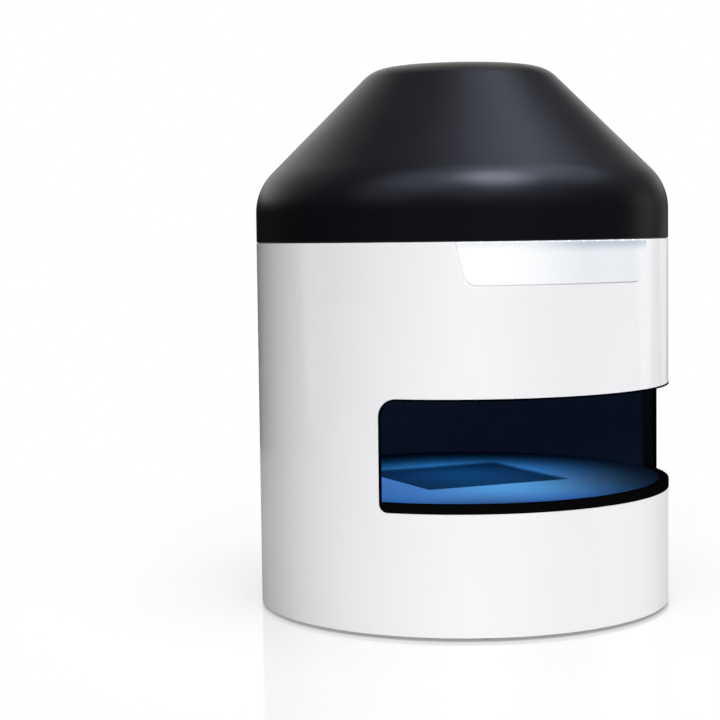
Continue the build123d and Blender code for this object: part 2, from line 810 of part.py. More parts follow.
with BuildPart() as front_lens:
    with BuildSketch(Plane.XZ):
        with BuildLine():
            Line((0, cell_top - front_glass_bulge), (0, cell_top + front_glass_thickness - seat_gap))
            Line(
                (0, cell_top + front_glass_thickness - seat_gap),
                (lens_bore - turn_gap, cell_top + front_glass_thickness - seat_gap),
            )
            Line(
                (lens_bore - turn_gap, cell_top + front_glass_thickness - seat_gap),
                (lens_bore - turn_gap, cell_top),
            )
            Line((lens_bore - turn_gap, cell_top), (lens_bore - 2 * front_glass_lip, cell_top))
            RadiusArc(
                (lens_bore - 2 * front_glass_lip, cell_top),
                (0, cell_top - front_glass_bulge),
                ((lens_bore - 2 * front_glass_lip) ** 2 + front_glass_bulge**2) / (2 * front_glass_bulge),
            )
        make_face()
    revolve(axis=Axis.Z)
front_lens.part.label = "front_lens"
export_step(front_lens.part, "parts/front_lens.step")


def fluted_ring(low, length):
    """A ring that turns on the lens barrel, fluted all round for the fingers."""
    with BuildPart() as ring:
        with BuildSketch(Plane.XY.offset(low)):
            Circle(lens_radius + ring_wall)
            with PolarLocations(lens_radius + ring_wall, ring_flute_count):
                Circle(ring_flute_radius, mode=Mode.SUBTRACT)
            Circle(lens_radius + turn_gap, mode=Mode.SUBTRACT)
        extrude(amount=length)
    return ring.part


turning_ring = fluted_ring(focus_low, focus_ring_length)
with BuildPart() as focus_ring:
    add(turning_ring)
focus_ring.part.label = "focus_ring"
export_step(focus_ring.part, "parts/focus_ring.step")

turning_ring = fluted_ring(iris_low, iris_ring_length)
with BuildPart() as iris_ring:
    add(turning_ring)
iris_ring.part.label = "iris_ring"
export_step(iris_ring.part, "parts/iris_ring.step")

with BuildPart() as lens_mount:
    with BuildSketch(Plane.XY.offset(mount_low)):
        Circle(lens_shoulder_radius)
    extrude(amount=ring_shoulder)
    with BuildSketch(Plane.XY.offset(mount_high)):
        Circle(lens_tail_radius)
    extrude(amount=lens_tail)
    with BuildSketch(Plane.XY.offset(mount_low)):
        Circle(lens_tail_radius - lens_shoulder)
    extrude(amount=ring_shoulder + lens_tail, mode=Mode.SUBTRACT)
lens_mount.part.label = "lens_mount"
export_step(lens_mount.part, "parts/lens_mount.step")

# ================================================================ camera and its bracket on the deck
with BuildPart() as camera_body:
    with BuildSketch(Plane.XY.offset(camera_bottom)):
        RectangleRounded(camera_width, camera_width, camera_corner)
    extrude(amount=camera_height)
    with BuildSketch(Plane.XZ):
        with Locations((0, camera_bottom + camera_height / 2)):
            with GridLocations(camera_width, camera_groove_pitch, 2, camera_groove_count):
                Rectangle(2 * camera_groove_depth, camera_groove_width)
    extrude(amount=camera_width, both=True, mode=Mode.SUBTRACT)
    with BuildSketch(Plane.XY.offset(camera_bottom)):
        Circle(lens_tail_radius - lens_shoulder)
    extrude(amount=camera_corner, mode=Mode.SUBTRACT)
camera_body.part.label = "camera_body"
export_step(camera_body.part, "parts/camera_body.step")

bracket_front = camera_width / 2
bracket_back = bracket_front + bracket_thickness
bracket_depth = bracket_thickness + bracket_foot
bracket_height = camera_bottom + camera_height - deck_top
foot_centre_y = bracket_back + bracket_foot / 2
bracket_screw_span = bracket_width - 2 * bracket_screw_inset
with BuildPart() as camera_bracket:
    with BuildSketch(Plane.XY.offset(deck_top)):
        with Locations((0, bracket_front + bracket_depth / 2)):
            Rectangle(bracket_width, bracket_depth)
    extrude(amount=bracket_thickness)
    with BuildSketch(Plane.XY.offset(deck_top)):
        with Locations((0, bracket_front + bracket_thickness / 2)):
            Rectangle(bracket_width, bracket_thickness)
    extrude(amount=bracket_height)
    fillet(camera_bracket.edges().filter_by(Axis.Y).group_by(Axis.Z)[-1], bracket_corner)
    gusset_foot = deck_top + bracket_thickness
    with BuildSketch(Plane.YZ):
        with BuildLine():
            Polyline(
                (bracket_back, gusset_foot),
                (bracket_back + bracket_rib_length, gusset_foot),
                (bracket_back, gusset_foot + 2 * bracket_rib_length),
                close=True,
            )
        make_face()
    extrude(amount=bracket_thickness / 2, both=True)
    with BuildSketch(Plane.XY.offset(deck_top)):
        with Locations((0, foot_centre_y)):
            with GridLocations(bracket_screw_span, bracket_foot / 2, 2, 2):
                Circle(m4_radius + screw_hole_gap)
    extrude(amount=bracket_thickness, mode=Mode.SUBTRACT)
camera_bracket.part.label = "camera_bracket"
export_step(camera_bracket.part, "parts/camera_bracket.step")

bracket_screw = cap_screw(m4_radius, bracket_thickness + deck_thickness, screw_head_radius, screw_head_height)
with BuildPart() as bracket_screws:
    with Locations((0, foot_centre_y, deck_top + bracket_thickness)):
        with GridLocations(bracket_screw_span, bracket_foot / 2, 2, 2):
            add(bracket_screw)
bracket_screws.part.label = "bracket_screws"
export_step(bracket_screws.part, "parts/bracket_screws.step")

# ================================================================ deck under the cover
with BuildPart() as top_deck:
    with BuildSketch(Plane.XY.offset(deck_bottom)):
        Circle(plate_radius)
        Circle(lens_tail_radius + screw_hole_gap, mode=Mode.SUBTRACT)
        with Locations(*rod_places, *post_places):
            Circle(m5_radius + screw_hole_gap, mode=Mode.SUBTRACT)
        with Locations(*cover_boss_places):
            Circle(m4_radius + screw_hole_gap, mode=Mode.SUBTRACT)
        with Locations((0, foot_centre_y)):
            with GridLocations(bracket_screw_span, bracket_foot / 2, 2, 2):
                Circle(m4_radius, mode=Mode.SUBTRACT)
    extrude(amount=deck_thickness)
top_deck.part.label = "top_deck"
export_step(top_deck.part, "parts/top_deck.step")

# ================================================================ cover: skirt, shoulder, cone and crown
with BuildPart() as top_cover:
    with BuildSketch(Plane.XZ) as cover_section:
        with BuildLine():
            Line((-cover_wall, cover_top_height), (0, cover_top_height))
            TangentArc((0, cover_top_height), (cover_top_radius, cover_rim_height), tangent=(1, 0))
            Polyline(
                (cover_top_radius, cover_rim_height),
                (shell_radius, cover_shoulder_height),
                (shell_radius, seam_height - cover_wall),
                (-cover_wall, seam_height - cover_wall),
                (-cover_wall, cover_top_height),
            )
        make_face()
        corners = cover_section.vertices()
        fillet(corners.sort_by_distance((cover_top_radius, cover_rim_height))[0], cover_rim_round)
        corners = cover_section.vertices()
        fillet(corners.sort_by_distance((shell_radius, cover_shoulder_height))[0], cover_shoulder_round)
        offset(amount=-cover_wall, kind=Kind.INTERSECTION, mode=Mode.SUBTRACT)
        with Locations((0, seam_height)):
            Rectangle(shell_radius, cover_top_height, align=from_corner, mode=Mode.INTERSECT)
        with Locations((shell_bore - seat_gap - cover_lip_width, seam_height - cover_lip_drop)):
            Rectangle(cover_lip_width, cover_lip_drop + cover_lip_rise, align=from_corner)
    revolve(axis=Axis.Z)
    skirt_foot = top_cover.edges().filter_by(GeomType.CIRCLE).filter_by(lambda e: e.radius > shell_bore)
    fillet(skirt_foot.sort_by(Axis.Z)[0], cover_edge_round)
    with BuildSketch(Plane.XY.offset(deck_top)):
        with Locations(*cover_boss_places):
            Circle(cover_boss_radius)
    extrude(amount=cover_boss_height)
    with BuildSketch(Plane.XY.offset(deck_top)):
        with Locations(*cover_boss_places):
            Circle(m4_radius)
    extrude(amount=cover_boss_bore, mode=Mode.SUBTRACT)
top_cover.part.label = "top_cover"
export_step(top_cover.part, "parts/top_cover.step")

cover_screw = cap_screw(m4_radius, deck_thickness + cover_boss_bore / 2, screw_head_radius, screw_head_height)
with BuildPart() as cover_screws:
    with Locations(*[Location((x, y, deck_bottom), (180, 0, 0)) for x, y in cover_boss_places]):
        add(cover_screw)
cover_screws.part.label = "cover_screws"
export_step(cover_screws.part, "parts/cover_screws.step")

# ================================================================ badge under the seam, with its edge lights
badge_top = seam_height - seam_gap - badge_chip_height
badge_bottom = seam_height - badge_height
badge_ring = washer(shell_radius, shell_radius + badge_thickness, badge_bottom, badge_top)
with BuildPart() as badge_plate:
    add(badge_ring)
    with BuildSketch(Plane.XZ) as badge_outline:
        with BuildLine():
            Polyline(
                (-badge_top_width / 2, seam_height),
                (badge_top_width / 2, seam_height),
                (badge_bottom_width / 2, badge_bottom),
                (-badge_bottom_width / 2, badge_bottom),
                close=True,
            )
        make_face()
        fillet(badge_outline.vertices().group_by(Axis.Y)[0], badge_corner)
    extrude(amount=2 * shell_radius, mode=Mode.INTERSECT)
    # the upper edge stays square under the chips; the sides, the rounded corners and the lower edge are bevelled
    badge_face = badge_plate.faces().filter_by(GeomType.CYLINDER).sort_by(Axis.Y)[0]
    badge_rim = badge_face.edges().group_by(Axis.Z)[:-1]
    chamfer([edge for level in badge_rim for edge in level], badge_bevel)
badge_plate.part.label = "badge_plate"
export_step(badge_plate.part, "parts/badge_plate.step")

chip_step = degrees(badge_chip_pitch / shell_radius)
chip_angles = [chip_step * (i - (badge_chip_count - 1) / 2) for i in range(badge_chip_count)]
chip_places = [Location((*at_angle(shell_radius, a), badge_top), (0, 0, a)) for a in chip_angles]
chip_ring = washer(shell_radius, shell_radius + badge_thickness, badge_top, badge_top + badge_chip_height)
with BuildPart() as badge_leds:
    with Locations(*chip_places):
        Box(badge_chip_width, 4 * badge_thickness, badge_chip_height, align=on_floor)
    add(chip_ring, mode=Mode.INTERSECT)
badge_leds.part.label = "badge_leds"
export_step(badge_leds.part, "parts/badge_leds.step")

# ================================================================ rear panel: a bay let into the drum
bay_bottom = bay_centre_height - bay_height / 2
bay_inner_width = bay_width - 2 * bay_wall
bay_inner_height = bay_height - 2 * bay_wall
switch_outer = (switch_width + 2 * switch_wall, switch_length + 2 * switch_wall)
panel_round = washer(0, shell_radius + bay_proud, base_top, seam_height)
with BuildPart() as rear_panel:
    with BuildSketch(rear_plane(bay_back - bay_wall)):
        with Locations((0, bay_centre_height)):
            RectangleRounded(bay_width - 2 * seat_gap, bay_height - 2 * seat_gap, bay_corner - seat_gap)
    extrude(amount=shell_radius)
    add(panel_round, mode=Mode.INTERSECT)
    with BuildSketch(rear_plane(bay_back)):
        with Locations((0, bay_centre_height)):
            RectangleRounded(bay_inner_width, bay_inner_height, bay_corner - bay_wall)
    extrude(amount=shell_radius, mode=Mode.SUBTRACT)
    with BuildSketch(Plane.XY.offset(base_top)):
        with Locations((0, bay_back - bay_foot / 2)):
            Rectangle(bay_width / 2, bay_foot)
    extrude(amount=bay_wall)
    with BuildSketch(Plane.XY.offset(base_top)):
        with Locations((0, bay_back - bay_wall / 2)):
            Rectangle(bay_width / 2, bay_wall)
    extrude(amount=bay_bottom + bay_wall - base_top)
    with BuildSketch(rear_plane(bay_back - bay_wall)):
        with Locations((switch_x, bay_centre_height)):
            Rectangle(switch_outer[0] + 2 * seat_gap, switch_outer[1] + 2 * seat_gap)
        with Locations((jack_x, bay_centre_height)):
            Circle(jack_radius + seat_gap)
        with Locations((usb_x, bay_centre_height)):
            Rectangle(usb_width + 2 * seat_gap, usb_height + 2 * seat_gap)
        with Locations((fan_x, bay_centre_height)):
            with GridLocations(fan_screw_span, fan_screw_span, 2, 2):
                Circle(m4_radius + screw_hole_gap)
    extrude(amount=bay_wall, mode=Mode.SUBTRACT)
    with BuildSketch(rear_plane(bay_back - bay_wall)):
        with Locations((fan_x, bay_centre_height)):
            with GridLocations(fan_slot_pitch, 0, fan_slot_count, 1):
                Rectangle(fan_slot_width, 2 * fan_bore)
            Circle(fan_bore, mode=Mode.INTERSECT)
    extrude(amount=bay_wall, mode=Mode.SUBTRACT)
rear_panel.part.label = "rear_panel"
export_step(rear_panel.part, "parts/rear_panel.step")

with BuildPart() as dc_jack:
    with BuildSketch(rear_plane(bay_back)):
        with Locations((jack_x, bay_centre_height)):
            Circle(jack_flange_radius)
    extrude(amount=jack_flange)
    with BuildSketch(rear_plane(bay_back)):
        with Locations((jack_x, bay_centre_height)):
            Circle(jack_radius)
    extrude(amount=-jack_length)
    with BuildSketch(rear_plane(bay_back + jack_flange)):
        with Locations((jack_x, bay_centre_height)):
            Circle(jack_bore)
            Circle(jack_pin_radius, mode=Mode.SUBTRACT)
    extrude(amount=-jack_bore_depth, mode=Mode.SUBTRACT)
    with BuildSketch(rear_plane(bay_back + jack_flange)):
        with Locations((jack_x, bay_centre_height)):
            Circle(jack_pin_radius)
    extrude(amount=jack_pin_length - jack_bore_depth, mode=Mode.SUBTRACT)
dc_jack.part.label = "dc_jack"
export_step(dc_jack.part, "parts/dc_jack.step")

usb_mouth = bay_back + usb_proud
with BuildPart() as usb_port:
    with BuildSketch(rear_plane(usb_mouth)) as usb_section:
        with Locations((usb_x, bay_centre_height)):
            Rectangle(usb_width, usb_height)
        chamfer(usb_section.vertices().group_by(Axis.Y)[-1], usb_height / 4)
    extrude(amount=-usb_length)
    with BuildSketch(rear_plane(usb_mouth)):
        add(usb_section.sketch_local)
        offset(amount=-usb_wall, kind=Kind.INTERSECTION, mode=Mode.REPLACE)
    extrude(amount=usb_back - usb_length, mode=Mode.SUBTRACT)
    with BuildSketch(rear_plane(usb_mouth - usb_length + usb_back)):
        with Locations((usb_x, bay_centre_height)):
            Rectangle(usb_tongue_width, usb_tongue_height)
    extrude(amount=usb_tongue_length)
usb_port.part.label = "usb_port"
export_step(usb_port.part, "parts/usb_port.step")

# ================================================================ power switch
pivot_y = bay_back - rocker_pivot
rocker_half = switch_length / 2 - rocker_end_gap
rocker_width = switch_width - 2 * rocker_side_gap
with BuildPart() as switch_body:
    with BuildSketch(rear_plane(bay_back)):
        with Locations((switch_x, bay_centre_height)):
            RectangleRounded(switch_width + 2 * switch_border, switch_length + 2 * switch_border, switch_wall)
    extrude(amount=switch_bezel)
    with BuildSketch(rear_plane(bay_back)):
        with Locations((switch_x, bay_centre_height)):
            Rectangle(*switch_outer)
    extrude(amount=-switch_depth)
    with BuildSketch(rear_plane(bay_back + switch_bezel)):
        with Locations((switch_x, bay_centre_height)):
            Rectangle(switch_width, switch_length)
    extrude(amount=-switch_bezel - switch_cavity, mode=Mode.SUBTRACT)
    with BuildSketch(Plane.YZ.offset(-switch_x)):
        with Locations((pivot_y, bay_centre_height)):
            Circle(rocker_pin_radius + turn_gap)
    extrude(amount=rocker_width / 2 + rocker_pin_length + seat_gap, both=True, mode=Mode.SUBTRACT)
switch_body.part.label = "switch_body"
export_step(switch_body.part, "parts/switch_body.step")

rocker_peak = rocker_rise + rocker_half * tan(radians(rocker_slope))
with BuildPart() as rocker_block:
    with BuildSketch(Plane.YZ):
        with BuildLine():
            Polyline(
                (-rocker_drop, -rocker_half),
                (rocker_rise, -rocker_half),
                (rocker_peak, 0),
                (rocker_rise, rocker_half),
                (-rocker_drop, rocker_half),
                close=True,
            )
        make_face()
    extrude(amount=rocker_width / 2, both=True)
    with BuildSketch(Plane.YZ):
        Circle(rocker_pin_radius)
    extrude(amount=rocker_width / 2 + rocker_pin_length, both=True)
with BuildPart() as switch_rocker:
    with Locations(Location((-switch_x, pivot_y, bay_centre_height), (rocker_tilt, 0, 0))):
        add(rocker_block.part)
switch_rocker.part.label = "switch_rocker"
export_step(switch_rocker.part, "parts/switch_rocker.step")

# ================================================================ fan behind its grille
fan_out = bay_back - bay_wall  # the fan's face against the panel
fan_in = fan_out - fan_depth
rotor_length = fan_depth - fan_strut_depth - 2 * fan_end_gap
rotor_middle = fan_out - fan_end_gap - rotor_length / 2
with BuildPart() as fan_housing:
    with BuildSketch(rear_plane(fan_in)):
        with Locations((fan_x, bay_centre_height)):
            RectangleRounded(fan_side, fan_side, fan_corner)
            Circle(fan_bore, mode=Mode.SUBTRACT)
            with GridLocations(fan_screw_span, fan_screw_span, 2, 2):
                Circle(m4_radius, mode=Mode.SUBTRACT)
    extrude(amount=fan_depth)
    with BuildSketch(rear_plane(fan_in)):
        with Locations((fan_x, bay_centre_height)):
            Circle(fan_hub_radius)
            Rectangle(2 * fan_bore + fan_strut_width, fan_strut_width, rotation=45)
            Rectangle(2 * fan_bore + fan_strut_width, fan_strut_width, rotation=-45)
    extrude(amount=fan_strut_depth)
    with BuildSketch(rear_plane(fan_in)):
        with Locations((fan_x, bay_centre_height)):
            Circle(fan_shaft_radius)
    extrude(amount=fan_depth - fan_end_gap)
fan_housing.part.label = "fan_housing"
export_step(fan_housing.part, "parts/fan_housing.step")

with BuildPart(rear_plane(rotor_middle)) as fan_rotor:
    with Locations((fan_x, bay_centre_height)):
        Cylinder(fan_hub_radius, rotor_length)
        with PolarLocations(0, fan_blade_count):
            Box(
                fan_side,
                fan_blade_chord,
                fan_blade_thickness,
                rotation=(fan_blade_pitch, 0, 0),
                align=(Align.MIN, Align.CENTER, Align.CENTER),
            )
        Cylinder(fan_bore - fan_tip_gap, rotor_length, mode=Mode.INTERSECT)
        Cylinder(fan_shaft_radius + turn_gap, rotor_length, mode=Mode.SUBTRACT)
fan_rotor.part.label = "fan_rotor"
export_step(fan_rotor.part, "parts/fan_rotor.step")

fan_screw = cap_screw(m4_radius, bay_wall + fan_depth / 2, screw_head_radius - seat_gap, screw_head_height)
with BuildPart(rear_plane(bay_back)) as fan_screws:
    with Locations((fan_x, bay_centre_height)):
        with GridLocations(fan_screw_span, fan_screw_span, 2, 2):
            add(fan_screw)
fan_screws.part.label = "fan_screws"
export_step(fan_screws.part, "parts/fan_screws.step")

# ================================================================ control board on the base
board_bottom = base_top + board_lift
board_top = board_bottom + board_thickness
board_span = (board_length - 2 * board_inset, board_width - 2 * board_inset)
with BuildPart() as board_posts:
    with BuildSketch(Plane.XY.offset(base_top)):
        with Locations((0, -board_offset)):
            with GridLocations(*board_span, 2, 2):
                Circle(board_post_radius)
    extrude(amount=board_lift)
board_posts.part.label = "board_posts"
export_step(board_posts.part, "parts/board_posts.step")

with BuildPart() as control_board:
    with BuildSketch(Plane.XY.offset(board_bottom)):
        with Locations((0, -board_offset)):
            RectangleRounded(board_length, board_width, board_post_radius)
    extrude(amount=board_thickness)
control_board.part.label = "control_board"
export_step(control_board.part, "parts/control_board.step")

with BuildPart() as board_components:
    with BuildSketch(Plane.XY.offset(board_top)):
        with Locations((0, -board_offset)):
            Rectangle(processor_side, processor_side)
    extrude(amount=processor_height)
    with BuildSketch(Plane.XY.offset(board_top + processor_height)):
        with Locations((0, -board_offset)):
            with GridLocations(heat_sink_fin_pitch, 0, heat_sink_fins, 1):
                Rectangle(heat_sink_fin_width, processor_side)
    extrude(amount=heat_sink_fin_height)
    with BuildSketch(Plane.XY.offset(board_top)):
        with Locations((-board_length / 4, -board_offset)):
            with GridLocations(0, capacitor_pitch, 1, capacitor_count):
                Circle(capacitor_radius)
    extrude(amount=capacitor_height)
    with BuildSketch(Plane.XY.offset(board_top)):
        with Locations((board_length / 4, -board_offset)):
            with GridLocations(0, header_length + header_width, 1, 2):
                Rectangle(header_width, header_length)
    extrude(amount=header_height)
board_components.part.label = "board_components"
export_step(board_components.part, "parts/board_components.step")
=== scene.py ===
import json
from math import cos, pi, radians, sin

import bmesh
import bpy
from mathutils import Matrix, Vector


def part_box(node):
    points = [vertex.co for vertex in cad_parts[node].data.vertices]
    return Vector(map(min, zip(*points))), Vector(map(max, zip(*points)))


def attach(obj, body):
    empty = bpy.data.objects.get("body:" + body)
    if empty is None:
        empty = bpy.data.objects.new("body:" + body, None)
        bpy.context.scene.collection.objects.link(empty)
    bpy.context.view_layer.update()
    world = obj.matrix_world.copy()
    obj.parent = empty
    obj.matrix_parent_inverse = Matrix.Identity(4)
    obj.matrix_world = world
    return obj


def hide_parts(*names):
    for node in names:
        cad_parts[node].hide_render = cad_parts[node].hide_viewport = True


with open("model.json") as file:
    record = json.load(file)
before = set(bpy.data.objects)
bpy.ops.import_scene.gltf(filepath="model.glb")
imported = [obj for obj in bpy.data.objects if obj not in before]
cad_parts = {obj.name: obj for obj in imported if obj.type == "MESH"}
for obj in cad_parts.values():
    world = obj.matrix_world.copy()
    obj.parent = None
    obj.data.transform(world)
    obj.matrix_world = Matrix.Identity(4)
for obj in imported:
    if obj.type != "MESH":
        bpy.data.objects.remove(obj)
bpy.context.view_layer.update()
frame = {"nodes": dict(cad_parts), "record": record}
nodes = frame["nodes"]
scene = bpy.context.scene

# ------------------------------------------------------------------ sizes, in metres and degrees
# The front faces -Y.
CAMERA_TURN = 28  # from the front, round the drum's axis towards -X, to the camera's side
CAMERA_DISTANCE = 2.1317  # from the drum's axis
CAMERA_HEIGHT = 0.4348
CAMERA_YAW = -3.242  # it looks past the drum's axis, to the left
CAMERA_PITCH = 4.047  # downwards
CAMERA_ROLL = -0.735
LENS_MM = 90.354
SENSOR_MM = 36

FLOOR_RADIUS = 1.6
FLOOR_FADE = (0.3, 1.1)  # between these radii the floor turns into the white backdrop
BACKDROP_TURN = 16  # the backdrop that gloss shows lies this way, from +Y towards +X
BACKDROP_CONE = (52, 30)  # it is black beyond the first angle from there, and white within the second
BACKDROP_FOOT = (5, 9)  # it rises from black to white between these angles above the horizon

BADGE_PAINTED_SHADE = (0.408, 0.4235)  # the heights between which painted shade darkens the badge towards its lights at the top
BADGE_PAINTED_SHADE_ACROSS = (-0.075, 0.02)  # the places in x between which this painted shade grows to its full depth

CHAMBER_LAMP_SIZE = 0.12
CHAMBER_LAMP_SPREAD = 115
CHAMBER_LAMP_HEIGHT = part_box("chamber_ceiling")[0][2] - 0.0015
SOFTBOX_DISTANCE = 3
SEAM_LEAN = 0.12  # a shading normal that leans less than this to one side should point straight out


# ------------------------------------------------------------------ node helpers
class Tree:
    """Adds nodes to one node tree and links them."""

    def __init__(self, tree):
        self.tree = tree

    def node(self, kind, **settings):
        """A new node. Each setting names one of its inputs, or else one of its properties."""
        made = self.tree.nodes.new(kind)
        for key, value in settings.items():
            if key in made.inputs.keys():
                made.inputs[key].default_value = value
            else:
                setattr(made, key, value)
        return made

    def link(self, output, socket):
        self.tree.links.new(output, socket)

    def math(self, operation, first, second):
        made = self.node("ShaderNodeMath", operation=operation)
        self.link(first, made.inputs[0])
        self.link(second, made.inputs[1])
        return made.outputs[0]

    def remap(self, value, low, high, at=(0.3, 0.7), curve="LINEAR"):
        """Goes from low to high while the value goes from at[0] to at[1], and no further."""
        made = self.node("ShaderNodeMapRange", interpolation_type=curve)
        for key, number in zip(("From Min", "From Max", "To Min", "To Max"), (*at, low, high)):
            made.inputs[key].default_value = number
        self.link(value, made.inputs["Value"])
        return made.outputs["Result"]

    def parts(self, vector):
        made = self.node("ShaderNodeSeparateXYZ")
        self.link(vector, made.inputs[0])
        return made.outputs


class Mat(Tree):
    """A procedural material on one Principled shader, with its patterns in object coordinates."""

    def __init__(self, name, color, rough=0.5, specular=0.5, **sockets):
        self.made = bpy.data.materials.new(name)
        self.made.use_nodes = True
        super().__init__(self.made.node_tree)
        self.shader = self.tree.nodes["Principled BSDF"]
        self.shader.inputs["Base Color"].default_value = color
        self.shader.inputs["Roughness"].default_value = rough
        self.shader.inputs["Specular IOR Level"].default_value = specular
        for key, value in sockets.items():
            self.shader.inputs[key.replace("_", " ")].default_value = value
        self.color = color
        self.rough = rough
        self.place = self.node("ShaderNodeTexCoord").outputs["Object"]
        self.normal = None

    def stretch(self, scale):
        made = self.node("ShaderNodeMapping")
        made.inputs["Scale"].default_value = scale
        self.link(self.place, made.inputs["Vector"])
        return made.outputs["Vector"]

    def noise(self, scale, detail=4, rough=0.55, vector=None):
        made = self.node("ShaderNodeTexNoise", Scale=scale, Detail=detail, Roughness=rough)
        self.link(vector or self.place, made.inputs["Vector"])
        return made.outputs["Fac"]

    def roughness(self, pattern, spread=0.08):
        """Varies the roughness with the pattern, by half the spread each way."""
        varied = self.remap(pattern, self.rough - spread / 2, self.rough + spread / 2)
        self.link(varied, self.shader.inputs["Roughness"])

    def tint(self, pattern, other, at=(0.3, 0.7)):
        """Blends the base colour towards another where the pattern is high."""
        made = self.node("ShaderNodeMix", data_type="RGBA")
        self.link(self.remap(pattern, 0, 1, at), made.inputs[0])
        made.inputs[6].default_value = self.color
        made.inputs[7].default_value = other
        self.link(made.outputs[2], self.shader.inputs["Base Color"])

    def bump(self, pattern, strength=0.2, distance=0.0002):
        """Adds a bump to those there are."""
        made = self.node("ShaderNodeBump", Strength=strength, Distance=distance)
        self.link(pattern, made.inputs["Height"])
        if self.normal is not None:
            self.link(self.normal, made.inputs["Normal"])
        self.normal = made.outputs["Normal"]
        self.link(self.normal, self.shader.inputs["Normal"])


def darker(color, share):
    return (*(channel * share for channel in color[:3]), 1)


# ------------------------------------------------------------------ materials
def white_paint():
    m = Mat("white_paint", (0.83, 0.83, 0.845, 1), 0.42, Coat_Weight=0.35, Coat_Roughness=0.08)
    m.roughness(m.noise(9), 0.05)
    m.tint(m.noise(3.5, 3), (0.815, 0.817, 0.835, 1))
    m.bump(m.noise(420, 2), 0.05, 0.0001)
    return m.made


def cover_black():
    """Satin paint, finely grained over a faint orange peel."""
    m = Mat("cover_black", (0.0052, 0.0053, 0.006, 1), 0.32, specular=0.2)
    m.roughness(m.noise(14), 0.05)
    m.bump(m.noise(1500, 3, 0.6), 0.07, 0.0001)
    m.bump(m.noise(260, 2), 0.02, 0.0002)
    return m.made


def black_trim():
    m = Mat("black_trim", (0.0022, 0.0022, 0.0025, 1), 0.3, specular=0)
    m.roughness(m.noise(60), 0.06)
    m.bump(m.noise(800, 2), 0.04, 0.00008)
    return m.made


def stage_face():
    """Dark blue anodised plate, brushed straight across."""
    m = Mat("stage_face", (0.024, 0.0325, 0.0515, 1), 0.34, specular=0)
    streak = m.noise(60, 4, 0.6, m.stretch((1.2, 26, 1)))
    m.roughness(streak, 0.08)
    m.tint(streak, (0.021, 0.029, 0.047, 1), at=(0.35, 0.65))
    m.bump(streak, 0.05, 0.00002)
    return m.made


def stage_glass():
    m = Mat("stage_glass", (0.0023, 0.006, 0.0113, 1), 0.06, specular=0.12)
    m.roughness(m.noise(40, 2), 0.02)
    m.tint(m.noise(12, 2), (0.0021, 0.0056, 0.0108, 1))
    return m.made


def badge_white():
    """Pearl white with a faint painted glow. Painted shade turns it a bluish grey towards its lights at the
    top, more so at the right.
    """
    m = Mat(
        "badge_face_painted_light",
        (0.93, 0.935, 0.94, 1),
        0.25,
        Coat_Weight=0.2,
        Coat_Roughness=0.05,
        # The emission is a painted glow: the badge face is no lamp.
        Emission_Color=(0.95, 0.98, 1, 1),
        Emission_Strength=0.06,
    )
    place = m.parts(m.place)
    height = m.remap(place["Z"], 0, 1, at=BADGE_PAINTED_SHADE, curve="SMOOTHERSTEP")
    across = m.remap(place["X"], 0, 1, at=BADGE_PAINTED_SHADE_ACROSS)
    right = m.math("MULTIPLY", across, m.remap(height, 0.36, 1, at=(0, 1)))
    left = m.remap(height, 0, 0.35, at=(0.4, 1))
    # Painted shade: a bluish grey towards the top, deeper at the right.
    m.tint(m.math("MAXIMUM", right, left), (0.445, 0.503, 0.588, 1), at=(0, 1))
    m.bump(m.noise(700, 2), 0.02, 0.00005)
    return m.made


def clear_glass():
    m = Mat("clear_glass", (0.95, 0.97, 1, 1), 0.03, IOR=1.5, Transmission_Weight=0.95)
    m.roughness(m.noise(40, 2), 0.015)
    return m.made


def glowing(name, color, strength):
    """The face of a small light."""
    m = Mat(name, color, 0.35, Emission_Color=color, Emission_Strength=strength)
    m.roughness(m.noise(500), 0.1)
    m.bump(m.noise(900, 2), 0.05, 0.00005)
    return m.made


def grained(name, color, rough, metallic=0, grain=900, bump=0.12, stretch=None, specular=0.5):
    """A material whose roughness, tone and bump vary with a grain. Stretched, it looks brushed."""
    m = Mat(name, color, rough, specular, Metallic=metallic)
    brushed = m.stretch(stretch) if stretch else None
    m.roughness(m.noise(grain / 12, 3))
    m.tint(m.noise(grain / 25, 3), darker(color, 0.86))
    m.bump(m.noise(grain, 3, 0.6, brushed), bump, 0.0001)
    return m.made


panel_black = grained("panel_black", (0.02, 0.02, 0.021, 1), 0.5, grain=1100, bump=0.2)
finishes = {
    "white_paint": white_paint(),
    "cover_black": cover_black(),
    "black_trim": black_trim(),
    "stage_black": stage_face(),
    "stage_glass": stage_glass(),
    "liner_black": grained("liner_face", (0.020, 0.020, 0.022, 1), 0.5, bump=0.06, specular=0),
    "white_plastic": grained("white_plastic", (0.83, 0.83, 0.83, 1), 0.6),
    "clear_glass": clear_glass(),
    "badge_white": badge_white(),
    "led": glowing("led_glow", (0.85, 0.92, 1, 1), 0.35),
    "base_metal": grained("base_metal", (0.08, 0.08, 0.085, 1), 0.5, grain=1200),
    "panel_black": panel_black,
    "fan_black": panel_black,
    "component_black": grained("component_black", (0.03, 0.03, 0.03, 1), 0.4),
    "circuit_board": grained("circuit_board", (0.01, 0.12, 0.05, 1), 0.35, grain=500),
    "camera_grey": grained("camera_grey", (0.2, 0.21, 0.23, 1), 0.4, 0.9, grain=1000),
    "lens_black": grained("lens_black", (0.02, 0.02, 0.021, 1), 0.38, 0.3, grain=1000),
    "aluminium": grained("aluminium", (0.72, 0.73, 0.75, 1), 0.35, 1, grain=600, stretch=(1, 1, 12)),
    "steel": grained("steel", (0.55, 0.55, 0.57, 1), 0.3, 1, grain=600, stretch=(1, 12, 1)),
    "rubber": grained("rubber", (0.018, 0.018, 0.018, 1), 0.75, grain=1400, bump=0.35),
}
for row in frame["record"]["subparts"]:
    faces = nodes[row["node"]].data
    faces.materials.clear()
    faces.materials.append(finishes[row["material_slot"]])
nodes["ring_leds"].data.materials[0] = glowing("ring_led_glow", (0.35, 0.6, 1, 1), 4)


